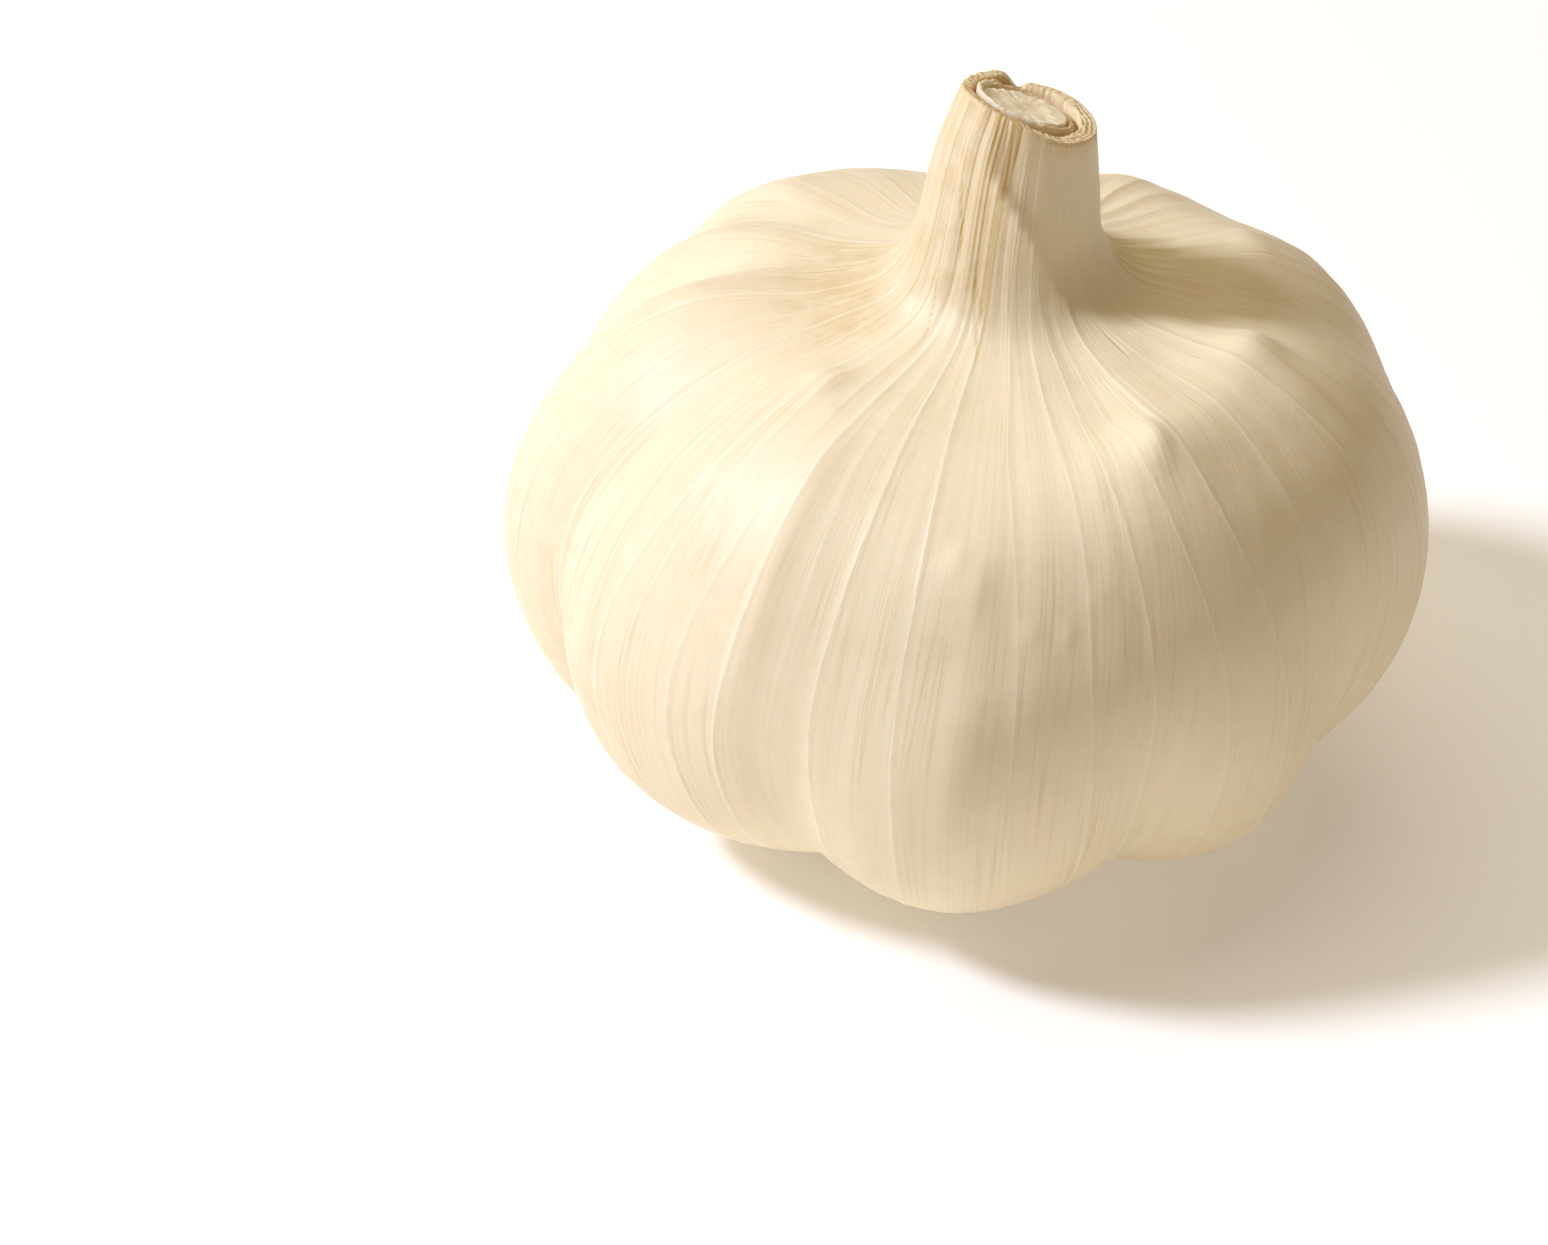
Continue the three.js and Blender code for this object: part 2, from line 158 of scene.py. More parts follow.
def profile(station):
    """Radius and height at a station: a uniform Catmull-Rom curve through the profile's points."""
    last = CUT_STATION
    t = np.clip(station, 0, last)
    i = np.minimum(t.astype(int), last - 1)
    w = (t - i)[..., None]
    before, here = SKIN_PROFILE[np.maximum(i - 1, 0)], SKIN_PROFILE[i]
    there, after = SKIN_PROFILE[i + 1], SKIN_PROFILE[np.minimum(i + 2, last)]
    leave, arrive = (there - before) / 2, (after - here) / 2
    return ((2 * here - 2 * there + leave + arrive) * w**3
            + (3 * there - 3 * here - 2 * leave - arrive) * w**2 + leave * w + here)


def clove_swelling(azimuth, station):
    """The smooth maximum of all cloves' swellings: each falls from its crest as 1 - reach^1.7, and the
    skin bridges the valleys by the logarithm of the summed exponentials."""
    changes = (change * smoothstep(station, low, high) for change, low, high in BRIDGE_CHANGES)
    bridge = sum(changes, BRIDGE_LEAST)
    total = 0
    for crest, left, right, swell, tip, tip_station, _, foot, fade in CLOVES:
        centre = crest + turn(crest, tip) * smoothstep(station, TIP_TURN_STATION, tip_station)
        away = turn(centre, azimuth)
        reach = np.minimum(np.where(away < 0, -away / left, away / right), WIDEST_REACH)
        fullness = (smoothstep(station, foot - FOOT_RISE[0], foot + FOOT_RISE[1])
                    * (1 - fade * smoothstep(station, *CROWN_FADE))
                    * (1 - smoothstep(station, tip_station - TIP_FADE[0], tip_station + TIP_FADE[1])))
        total = total + np.exp(swell * fullness * (1 - reach**CREST_POWER) / bridge)
    return bridge * np.log(total)


def tip_knobs(azimuth, station, radius):
    """A bell over each clove's tip, steep on its right and towards the neck."""
    height = 0
    for _, _, _, _, tip, tip_station, knob, _, _ in CLOVES:
        aside = np.radians(turn(tip, azimuth)) * radius
        aside = aside / np.where(aside < 0, KNOB_LEFT, KNOB_RIGHT)
        along = (station - tip_station) * STATION_LENGTH
        along = along / np.where(along > 0, KNOB_ABOVE, KNOB_BELOW)
        height = height + knob * np.exp(-aside**2 - along**2)
    return height


def crease_section(aside, left, right, rounding):
    """1 on the crease's line and exp(-x) to both sides, with the edge rounded off."""
    away = np.sqrt(np.square(aside) + rounding**2) - rounding
    return np.exp(-away / np.where(aside < 0, left, right))


def skin_creases(azimuth, station, radius):
    """Each crease falls from its line to both sides, starts sharply at the top and runs out softly at its
    foot, its edge rounding off as it fades. The tent's edge is such a crease round the crown."""
    height = 0
    for rise, left, right, run_out, stations, azimuths in CREASES:
        aside = np.radians(turn(np.interp(station, stations, azimuths), azimuth)) * radius
        start = smoothstep(station, stations[0] - run_out, stations[0] + run_out)
        present = start * (1 - smoothstep(station, stations[-1] - CREASE_TOP, stations[-1] + CREASE_TOP))
        sharpness = CREASE_FADED_SHARPNESS + (1 - CREASE_FADED_SHARPNESS) * start
        rounding = CREASE_ROUNDING * (left + right) / sharpness
        height = height + rise * present * crease_section(aside, left, right, rounding)
    here = turn(0, azimuth)
    tent = (smoothstep(here, TENT_START[0] - TENT_FADE, TENT_START[0] + TENT_FADE)
            * (1 - smoothstep(here, TENT_END[0] - TENT_FADE, TENT_END[0] + TENT_FADE)))
    inwards = station - np.interp(here, *zip(TENT_START, TENT_END))
    return height + TENT_HEIGHT * tent * crease_section(inwards, TENT_REACH_OUT, TENT_REACH_IN, TENT_ROUNDING)


def neck_ribs(azimuth, station):
    """A drifting cosine round the neck, strongest on the left."""
    angle = np.radians(azimuth)
    wave = np.cos(RIB_COUNT * angle + RIB_DRIFT * np.sin(RIB_DRIFT_WAVES * angle))
    strength = (0.5 + 0.5 * np.cos(angle - math.radians(RIB_STRONG_AZIMUTH)))**2
    return RIB_HEIGHT * strength * wave * smoothstep(station, RIB_START, RIB_FULL)


def cut_slant(azimuth, radius):
    """Height of the slanted cut over its middle."""
    angle = np.radians(azimuth)
    return radius * (CUT_FALL_BACK * np.cos(angle) - CUT_FALL_RIGHT * np.sin(angle))


def rim_waves(azimuth):
    """How far the cut's rim waves up or down, a bell for each wave."""
    return sum(height * bell(turn(middle, azimuth) / half_width) for middle, half_width, height in RIM_WAVES)


def on_axis(azimuth, radius, height, left=0.0):
    """Points at a radius from the leaning axis."""
    angle = np.radians(azimuth)
    lean = sum(shift * smoothstep(height, low, high) for shift, low, high in LEANS)
    x = radius * np.sin(angle) + lean - left
    y = -radius * np.cos(angle)
    return np.stack(np.broadcast_arrays(x, y, height), -1)


def neck_point(azimuth, radius, depth):
    """Points inside the neck, at a depth under the slanted cut."""
    point = on_axis(azimuth, radius, CUT_HEIGHT - depth, SOCKET_LEFT)
    point[..., 2] += cut_slant(azimuth, radius)
    return point


# ---- Fine relief of the skin -------------------------------------

# Main veins of the front: azimuth at the crown, azimuth at the belly, and strength.
FRONT_VEINS = [
    (-62, -70, 0.6), (-50, -57, 0.9), (-46, -52, 0.6), (-39, -43, 0.8), (-34, -35.9, 1.3), (-28, -28.5, 0.4),
    (-22.5, -22.8, 0.9), (-14, -11.5, 1.0), (-1, 3, 0.5), (9, 13, 0.7), (16, 21, 0.8), (22, 32, 0.7),
    (30, 41, 1.0), (44, 50, 0.5), (58, 65, 0.9), (72, 76, 0.7),
]
BACK_VEINS_START = 84
BACK_VEINS_END = 290
BACK_VEIN_STEP = 8.5
BACK_VEIN_SHIFT = 2.5
BACK_VEIN_BEND = 4
BACK_VEIN_STRENGTH = (0.3, 1)
CROWN_STATION = 7.2
BELLY_STATION = 3.8
VEIN_HALF_WIDTH = 0.23
VEIN_REACH = 0.8
VEIN_HEIGHT = 0.04
VEIN_WANDER = 0.35
VEIN_WANDER_PACE = 1.9
# Stations over which the veins come in above the root and go out below the neck.
VEIN_START = (0.5, 2.5)
VEIN_END = (8.6, 10.2)
NO_VEIN_NEAR = 9.0

# Small bumps where the skin rides over the cloves: azimuth, station, height and half-width.
BUMPS = [
    (-8, 6.05, 0.13, 0.8), (3, 5.45, 0.09, 0.7), (8, 5.4, 0.12, 0.6), (12, 5.7, 0.08, 0.8),
    (-41, 7.15, 0.1, 0.5),
]

# Slack of the thin skin: wide waves and fine wrinkles, and the stations where both come in and go out.
SLACK_HEIGHT = 0.05
WRINKLE_HEIGHT = 0.02
WRINKLE_RADIUS = 30
SLACK_START = (0.5, 3)
SLACK_END = (7.5, 9)

# Pleats behind the neck's right foot: height, first and last azimuth with the fade, and stations.
PLEAT_HEIGHT = 0.2
PLEAT_ZONE = (92, 165, 25)
PLEAT_LEVEL = 0.6
PLEAT_START = (6.4, 8.0)
PLEAT_END = (9.4, 10.4)

GROOVE_COUNT = 110
GROOVE_DEPTH = 0.055
# Share of the grooves' depth all round, and what is added from one azimuth to another, with the fade.
GROOVES_EVERYWHERE = 0.12
GROOVE_ZONES = [(0.88, -125, -14, 26), (0.3, 130, 220, 40)]
GROOVE_SCATTER = 0.35
GROOVE_SLANT = 3
GROOVE_DEPTHS = (0.15, 1.0)
GROOVE_HALF_WIDTHS = (0.06, 0.16)
GROOVE_ENDS = (7.4, 9.2)
GROOVE_FADE = 2
GROOVE_TURN = (8.5, 11.5)
GROOVE_SPREAD = 0.12
NECK_RADIUS = 6
# How far a deep fold fades out beyond its end stations, and within them.
FOLD_FADE_OUT = 0.3
FOLD_FADE_IN = 0.4
# Deep folds of the neck's front: upper and lower azimuth, upper and lower station, depth, half-width.
DEEP_FOLDS = [
    (-43, -33, 11.2, 10.1, 1.0, 0.1), (-27, -25, 12.2, 11.3, 1.2, 0.1), (-20, -17, 12.0, 11.4, 1.1, 0.1),
    (-14, -12, 11.9, 11.2, 1.1, 0.1), (-8, -9, 11.9, 11.3, 1.1, 0.1), (-1, -1, 12.0, 11.6, 0.8, 0.1),
    (-23, -15, 10.2, 9.4, 0.8, 0.13), (-21, -13, 10.0, 8.4, 0.6, 0.1), (41, 40, 8.7, 8.1, 1.3, 0.1),
    (-47, -37, 10.2, 8.5, 0.9, 0.1),
]

# Half of the step in stations over which the profile's direction is taken.
DIRECTION_STEP = 0.02


def ripple(azimuth, station, slowest, fastest, seed, terms=14, drift=1.2):
    """A sum of cosines round the bulb with random whole frequencies and phases, each sliding slowly
    with the station, scaled to a height of about 1."""
    rng = np.random.default_rng(seed)
    angle = np.radians(azimuth)
    total = 0
    for _ in range(terms):
        frequency = rng.integers(slowest, fastest + 1)
        phase = rng.uniform(0, math.tau)
        slide = rng.uniform(-drift, drift)
        total = total + np.cos(frequency * angle + phase + slide * station)
    return total / math.sqrt(terms)


def window(azimuth, start, end, fade):
    """1 between two azimuths, falling smoothly to 0 over the fade outside them."""
    middle, half = (start + end) / 2, (end - start) / 2
    return 1 - smoothstep(np.abs(turn(middle, azimuth)), half, half + fade)


def all_veins():
    """The front's main veins, and round the back one every few degrees with seeded shifts."""
    rng = np.random.default_rng(21)
    veins = list(FRONT_VEINS)
    for azimuth in np.arange(BACK_VEINS_START, BACK_VEINS_END, BACK_VEIN_STEP):
        crown = azimuth + rng.uniform(-BACK_VEIN_SHIFT, BACK_VEIN_SHIFT)
        belly = crown + rng.uniform(-BACK_VEIN_BEND, BACK_VEIN_BEND)
        veins.append((crown, belly, rng.uniform(*BACK_VEIN_STRENGTH)))
    return veins


def nearest_vein(azimuth, station, radius):
    """Signed distance to the nearest main vein's line, and how strong that vein is there. A line bends
    from the crown to the belly and wanders a little, and thins out towards the root and the neck."""
    bend = smoothstep(station, BELLY_STATION, CROWN_STATION)
    nearest, strength = np.full(azimuth.shape, NO_VEIN_NEAR), np.zeros(azimuth.shape)
    for crown, belly, power in all_veins():
        wander = VEIN_WANDER * np.sin(VEIN_WANDER_PACE * station + 3 * crown)
        line = belly + turn(belly, crown) * bend + wander
        aside = np.radians(turn(line, azimuth)) * radius
        closer = np.abs(aside) < np.abs(nearest)
        nearest, strength = np.where(closer, aside, nearest), np.where(closer, power, strength)
    return nearest, strength * smoothstep(station, *VEIN_START) * (1 - smoothstep(station, *VEIN_END))


def groove_mask(azimuth, station, radius):
    """Bells across the creases between the gathered ribs: seeded ones all round, faint on the smooth
    right, and the deep folds of the front. They fan out and fade over the shoulder."""
    rng = np.random.default_rng(17)
    share = sum((more * window(azimuth, *zone) for more, *zone in GROOVE_ZONES), GROOVES_EVERYWHERE)
    mask = 0
    for groove in range(GROOVE_COUNT):
        top = 360 * (groove + rng.uniform(-GROOVE_SCATTER, GROOVE_SCATTER)) / GROOVE_COUNT
        foot = top + rng.uniform(-GROOVE_SLANT, GROOVE_SLANT)
        depth = rng.uniform(*GROOVE_DEPTHS)
        half_width = rng.uniform(*GROOVE_HALF_WIDTHS)
        end = rng.uniform(*GROOVE_ENDS)
        line = foot + turn(foot, top) * smoothstep(station, *GROOVE_TURN)
        aside = np.radians(turn(line, azimuth)) * radius
        widen = half_width * (1 + GROOVE_SPREAD * np.maximum(radius - NECK_RADIUS, 0))
        mask = mask + share * depth * bell(aside / widen) * smoothstep(station, end, end + GROOVE_FADE)
    for top, foot, high, low, depth, half_width in DEEP_FOLDS:
        line = foot + turn(foot, top) * smoothstep(station, low, high)
        aside = np.radians(turn(line, azimuth)) * radius
        present = (smoothstep(station, low - FOLD_FADE_OUT, low + FOLD_FADE_IN)
                   * (1 - smoothstep(station, high - FOLD_FADE_IN, high + FOLD_FADE_OUT)))
        mask = mask + depth * bell(aside / half_width) * present
    return mask


def skin_relief(azimuth, station, radius):
    """Everything finer than the solids: veins and small bumps up, creases down, sharp pleats behind the
    neck's right foot, and the slack and wrinkles of a thin skin."""
    wrinkles = ripple(azimuth, station, 20, 70, seed=9, terms=24, drift=0.5)
    slack = (SLACK_HEIGHT * ripple(azimuth, station, 5, 14, seed=8, drift=2.0)
             + WRINKLE_HEIGHT * radius / WRINKLE_RADIUS * wrinkles)
    slack = slack * smoothstep(station, *SLACK_START) * (1 - smoothstep(station, *SLACK_END))
    folds = PLEAT_LEVEL - np.abs(ripple(azimuth, station, 12, 30, seed=5, drift=0.9))
    pleats = PLEAT_HEIGHT * window(azimuth, *PLEAT_ZONE) * folds
    pleats = pleats * smoothstep(station, *PLEAT_START) * (1 - smoothstep(station, *PLEAT_END))
    bumps = 0
    for middle, middle_station, height, half_width in BUMPS:
        aside = np.radians(turn(middle, azimuth)) * radius
        along = (station - middle_station) * STATION_LENGTH
        bumps = bumps + height * bell(np.hypot(aside, along) / half_width)
    aside, strength = nearest_vein(azimuth, station, radius)
    veins = VEIN_HEIGHT * strength * bell(aside / VEIN_HALF_WIDTH)
    return slack + pleats + bumps + veins - GROOVE_DEPTH * groove_mask(azimuth, station, radius)


def skin_point(azimuth, station):
    """Points of the outside of the skin: the profile pushed out along its normal by the cloves, knobs,
    ribs and fine relief, then slanted and notched towards the cut."""
    base = profile(station)
    along = profile(station + DIRECTION_STEP) - profile(station - DIRECTION_STEP)
    along = along / np.linalg.norm(along, axis=-1, keepdims=True)
    lift = (clove_swelling(azimuth, station) + tip_knobs(azimuth, station, base[..., 0])
            + skin_creases(azimuth, station, base[..., 0]) + neck_ribs(azimuth, station)
            + skin_relief(azimuth, station, base[..., 0]))
    radius = base[..., 0] + along[..., 1] * lift
    point = on_axis(azimuth, radius, base[..., 1] - along[..., 0] * lift)
    point[..., 2] += (cut_slant(azimuth, radius) * smoothstep(station, SLANT_STATION, CUT_STATION)
                      + rim_waves(azimuth) * smoothstep(station, WAVE_STATION, CUT_STATION))
    return point


# ---- Meshes ------------------------------------------------------

def leaf_faces(rows, columns, first_pole, last_pole):
    """Triangles of a grid whose columns close into a ring, and their corners on the leaf map, the turn
    round the ring and the row, both 0 to 1. A pole's row is all one point, so there each square gives
    only the triangle that isn't pinched."""
    index = np.arange(rows * columns).reshape(rows, columns)
    if first_pole:
        index[0] = index[0, 0]
    if last_pole:
        index[-1] = index[-1, 0]
    beside = np.roll(index, -1, axis=1)
    u, v = np.meshgrid(np.arange(columns) / columns, np.linspace(0, 1, rows))
    here = np.stack([u, v], -1)
    there = np.stack([u + 1 / columns, v], -1)
    lower = np.stack([index[:-1], beside[:-1], beside[1:]], -1)
    upper = np.stack([index[:-1], beside[1:], index[1:]], -1)
    lower_corners = np.stack([here[:-1], there[:-1], there[1:]], 2)
    upper_corners = np.stack([here[:-1], there[1:], here[1:]], 2)
    first, last = (1 if first_pole else 0), (-1 if last_pole else None)
    faces = np.concatenate([lower[first:].reshape(-1, 3), upper[:last].reshape(-1, 3)])
    corners = np.concatenate([lower_corners[first:].reshape(-1, 3, 2),
                              upper_corners[:last].reshape(-1, 3, 2)])
    return faces, corners


def mesh_piece(name, points, faces, corners, material, node, tables):
    """A smooth mesh of triangles with its leaf map and its tables of one number a point, without the
    points that no face uses."""
    used, faces = np.unique(faces, return_inverse=True)
    faces = faces.reshape(-1, 3)
    mesh = bpy.data.meshes.new(name)
    mesh.from_pydata((points.reshape(-1, 3)[used] * MM).tolist(), [], faces.tolist())
    leaf = mesh.uv_layers.new(name="leaf")
    leaf.data.foreach_set("uv", corners.ravel().astype(np.float32))
    for key, values in tables.items():
        attribute = mesh.attributes.new(key, "FLOAT", "POINT")
        attribute.data.foreach_set("value", np.ravel(values)[used].astype(np.float32))
    mesh.shade_smooth()
    piece = bpy.data.objects.new(name, mesh)
    bpy.context.scene.collection.objects.link(piece)
    piece.data.materials.append(material)
    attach(piece, ROOT)
    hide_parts(node)


def grid_piece(name, points, material, node, tables, first_pole=False, last_pole=False):
    """One piece from a grid of points, rows by columns."""
    faces, corners = leaf_faces(*points.shape[:2], first_pole, last_pole)
    mesh_piece(name, points, faces, corners, material, node, tables)


def tube_piece(name, points, material, node, tables):
    """One piece of many like tubes, each a grid of rows by sides that starts and ends in a pole."""
    count, rows, sides = points.shape[:3]
    faces, corners = leaf_faces(rows, sides, True, True)
    shift = np.arange(count)[:, None, None] * rows * sides
    all_faces = (faces[None] + shift).reshape(-1, 3)
    all_corners = np.broadcast_to(corners, (count, *corners.shape)).reshape(-1, 3, 2)
    mesh_piece(name, points, all_faces, all_corners, material, node, tables)


# ---- Materials ---------------------------------------------------

def new_material(name):
    material = bpy.data.materials.new(name)
    material.use_nodes = True
    material.node_tree.nodes.clear()
    return material


def add_node(material, kind, inputs=None, **settings):
    """Adds a node, sets its properties, and links or sets its inputs by name or number."""
    tree = material.node_tree
    node = tree.nodes.new(kind)
    for key, value in settings.items():
        setattr(node, key, value)
    for key, value in (inputs or {}).items():
        if isinstance(value, bpy.types.NodeSocket):
            tree.links.new(value, node.inputs[key])
        else:
            node.inputs[key].default_value = value
    return node


def maths(material, operation, first, second=0.0, third=0.0):
    """One arithmetic node on sockets or numbers."""
    inputs = {0: first, 1: second, 2: third}
    return add_node(material, "ShaderNodeMath", inputs, operation=operation).outputs[0]


def times(material, first, second):
    """The product of two sockets or numbers."""
    return maths(material, "MULTIPLY", first, second)


def scaled(material, value, factor, offset):
    """A value times a factor, plus an offset."""
    return maths(material, "MULTIPLY_ADD", value, factor, offset)


def ramp(material, value, low, high):
    """A value's rise from 0 at low to 1 at high, smoothed at both ends."""
    return add_node(material, "ShaderNodeMapRange", {"Value": value, "From Min": low, "From Max": high},
                    interpolation_type="SMOOTHSTEP").outputs[0]


def blend(material, factor, first, second):
    """Mixes two colours, each a socket or a linear (r, g, b)."""
    node = add_node(material, "ShaderNodeMix", {0: factor}, data_type="RGBA")
    for index, colour in ((6, first), (7, second)):
        if isinstance(colour, bpy.types.NodeSocket):
            material.node_tree.links.new(colour, node.inputs[index])
        else:
            node.inputs[index].default_value = (*colour, 1)
    return node.outputs[2]


def tinted(material, colour, mask, share, tone):
    """The colour with a share of another tone where the mask says."""
    return blend(material, times(material, mask, share), colour, tone)


def table(material, name):
    """A number stored on the mesh's points."""
    return add_node(material, "ShaderNodeAttribute", attribute_name=name).outputs["Fac"]


def place_in_metres(material):
    return add_node(material, "ShaderNodeTexCoord").outputs["Object"]


def noise(material, vector, scale, detail=3.0, roughness=0.55):
    return add_node(material, "ShaderNodeTexNoise", {
        "Vector": vector, "Scale": scale, "Detail": detail, "Roughness": roughness}).outputs[0]


def ring_vector(material, around, along):
    """Coordinates for noise that closes round the ring: a circle of the given size for the turn, and the
    station times the given pace for the height, so grain runs up and down the leaf."""
    leaf = add_node(material, "ShaderNodeUVMap", uv_map="leaf").outputs[0]
    turned = add_node(material, "ShaderNodeSeparateXYZ", {0: leaf}).outputs[0]
    angle = times(material, turned, math.tau)
    x = times(material, maths(material, "COSINE", angle), around)
    y = times(material, maths(material, "SINE", angle), around)
    z = times(material, table(material, "station"), along)
    return add_node(material, "ShaderNodeCombineXYZ", {0: x, 1: y, 2: z}).outputs[0]


def ring_noise(material, around, along, detail):
    return noise(material, ring_vector(material, around, along), 1.0, detail)


def one_less(material, value):
    return maths(material, "SUBTRACT", 1.0, value)


def thin_lines(material, value, half_width):
    """1 where a value passes 0.5, falling to 0 within the half-width: of a noise, thin wandering lines."""
    off = maths(material, "ABSOLUTE", maths(material, "SUBTRACT", value, 0.5))
    return one_less(material, ramp(material, off, 0.0, half_width))


def finish(material, colour, rough, height, depth, **constants):
    """The principled surface with a bump of the given depth in metres."""
    bump = add_node(material, "ShaderNodeBump", {"Strength": 1.0, "Distance": depth, "Height": height})
    inputs = {"Base Color": colour, "Roughness": rough, "Normal": bump.outputs[0]}
    inputs.update({key.replace("_", " "): value for key, value in constants.items()})
    surface = add_node(material, "ShaderNodeBsdfPrincipled", inputs)
    add_node(material, "ShaderNodeOutputMaterial", {"Surface": surface.outputs[0]})
    return material


CREAM = (0.90, 0.793, 0.55)
ROSY_CREAM = (0.90, 0.779, 0.54)
PALE_VEIN = (0.95, 0.88, 0.72)
TAN = (0.71, 0.55, 0.30)
# Golden brown of the creases: partly their own colour, partly painted shade.
CREASE_GOLD_AND_SHADE = (0.66, 0.47, 0.17)
RUST = (0.68, 0.48, 0.22)
SPECK = (0.22, 0.13, 0.06)
LEAF_PALE = (0.95, 0.82, 0.60)
LEAF_WARM = (0.88, 0.73, 0.50)
LEAF_BROWN = (0.74, 0.56, 0.31)
LEAF_THREAD = (0.60, 0.42, 0.19)
PITH_PALE = (1.0, 0.86, 0.60)
PITH_WARM = (1.0, 0.82, 0.55)
PITH_HOLLOW = (0.74, 0.57, 0.33)
PITH_PORE = (0.50, 0.36, 0.18)
PLATE_PALE = (0.44, 0.34, 0.22)
PLATE_DARK = (0.27, 0.19, 0.115)
STUB_PALE = (0.50, 0.39, 0.25)
STUB_DARK = (0.33, 0.24, 0.145)
CORK_CRACK = (0.12, 0.08, 0.045)
CORK_GRIT = (0.10, 0.065, 0.035)
CORK_CUT = (0.62, 0.50, 0.33)
# Light goes a little way into living tissue, red the furthest.
TISSUE = {"Subsurface_Weight": 0.3, "Subsurface_Radius": (1.0, 0.6, 0.3)}


def garlic_skin():
    """Cream papery skin: drifting warm patches, fine tan grain along the leaf, pale veins each with a painted
    shadow beside it, golden brown in the creases partly as painted shade, brown at the cut, and a few specks."""
    material = new_material("garlic_skin")
    place = place_in_metres(material)
    patches = noise(material, place, 90, 2)
    broad = ring_noise(material, 11, 1.1, 3)
    mottle = noise(material, place, 420, 4, 0.6)
    grain = ring_noise(material, 34, 0.9, 4)
    hair = ring_noise(material, 42, 0.16, 2.5)
    clusters = ramp(material, ring_noise(material, 7, 0.7, 2), 0.4, 0.66)
    stain = table(material, "stain")

    # Warm patches, then the stains' dull freckles and the tan streaks and hairs along the leaf.
    colour = blend(material, ramp(material, patches, 0.35, 0.65), CREAM, ROSY_CREAM)
    freckled = ramp(material, mottle, 0.4, 0.68)
    dull = scaled(material, stain, scaled(material, freckled, 0.3, 0.2), times(material, freckled, 0.1))
    colour = blend(material, dull, colour, TAN)
    streak = times(material, ramp(material, grain, 0.5, 0.78), 0.15)
    streak = scaled(material, stain, 0.25, streak)
    colour = tinted(material, colour, streak, ramp(material, broad, 0.3, 0.7), TAN)
    colour = tinted(material, colour, thin_lines(material, hair, 0.035),
                    scaled(material, stain, 0.6, scaled(material, clusters, 0.36, 0.1)), TAN)

    # The distance from the vein wanders with the mottle; a faint tan line of painted shadow runs 0.3 mm to
    # the vein's right, the side away from the key light.
    aside = scaled(material, mottle, 0.3, maths(material, "SUBTRACT", table(material, "aside"), 0.15))
    beside = thin_lines(material, maths(material, "ADD", aside, 0.2), 0.2)
    colour = tinted(material, colour, times(material, table(material, "vein"), beside), 0.14, TAN)
    vein = times(material, table(material, "vein"),
                 thin_lines(material, maths(material, "ADD", aside, 0.5), 0.17))
    shown = scaled(material, ramp(material, broad, 0.3, 0.7), 0.35, 0.3)
    colour = tinted(material, colour, vein, shown, PALE_VEIN)

    # Golden creases, partly the dry skin's own colour and partly painted shade deepening them, then the worn
    # rim and the specks.
    colour = tinted(material, colour, ramp(material, table(material, "groove"), 0.1, 1.4), 0.8, CREASE_GOLD_AND_SHADE)
    worn = times(material, table(material, "rim"), ramp(material, grain, 0.2, 0.7))
    colour = tinted(material, colour, worn, 0.7, RUST)
    cells = add_node(material, "ShaderNodeTexVoronoi", {"Vector": place, "Scale": 250.0})
    chance = add_node(material, "ShaderNodeSeparateColor", {0: cells.outputs["Color"]}).outputs[0]
    chosen = maths(material, "GREATER_THAN", chance, 0.72)
    dots = times(material, chosen, one_less(material, ramp(material, cells.outputs["Distance"], 0.02, 0.045)))
    colour = tinted(material, colour, dots, 0.55, SPECK)

    rough = scaled(material, grain, 0.2, 0.38)
    paper = noise(material, place, 2600, 2)
    height = scaled(material, paper, 0.25, maths(material, "ADD", grain, hair))
    height = scaled(material, vein, 0.5, height)
    height = scaled(material, mottle, 1.5, height)
    return finish(material, colour, rough, height, 0.00003, Specular_IOR_Level=0.45, Subsurface_Scale=0.0015,
                  **TISSUE)


def dried_leaf():
    """The rolled inner leaf: pale at its cut rim, browned and fibrous where the brown table says."""
    material = new_material("dried_leaf")
    place = place_in_metres(material)
    fibre = add_node(material, "ShaderNodeMapping", {"Vector": place, "Scale": (1.0, 1.0, 0.25)}).outputs[0]
    threads = noise(material, fibre, 3200, 3)
    mottle = noise(material, place, 900, 3)
    colour = blend(material, ramp(material, mottle, 0.3, 0.7), LEAF_PALE, LEAF_WARM)
    colour = tinted(material, colour, table(material, "brown"), ramp(material, mottle, 0.15, 0.6), LEAF_BROWN)
    colour = tinted(material, colour, ramp(material, threads, 0.52, 0.7), 0.3, LEAF_THREAD)
    rough = scaled(material, mottle, 0.2, 0.5)
    return finish(material, colour, rough, threads, 0.00005, Subsurface_Scale=0.002, **TISSUE)


def stem_pith():
    """The cut heart of the stem: pale, greyer in its hollows, with short fibre ends."""
    material = new_material("stem_pith")
    place = place_in_metres(material)
    mottle = noise(material, place, 700, 4)
    pores = noise(material, place, 4200, 2)
    colour = blend(material, ramp(material, mottle, 0.35, 0.7), PITH_PALE, PITH_WARM)
    colour = tinted(material, colour, table(material, "hollow"), 0.35, PITH_HOLLOW)
    colour = tinted(material, colour, ramp(material, pores, 0.6, 0.75), 0.12, PITH_PORE)
    rough = scaled(material, mottle, 0.15, 0.65)
    height = scaled(material, mottle, 1.5, pores)
    return finish(material, colour, rough, height, 0.00003, Subsurface_Scale=0.002, **TISSUE)


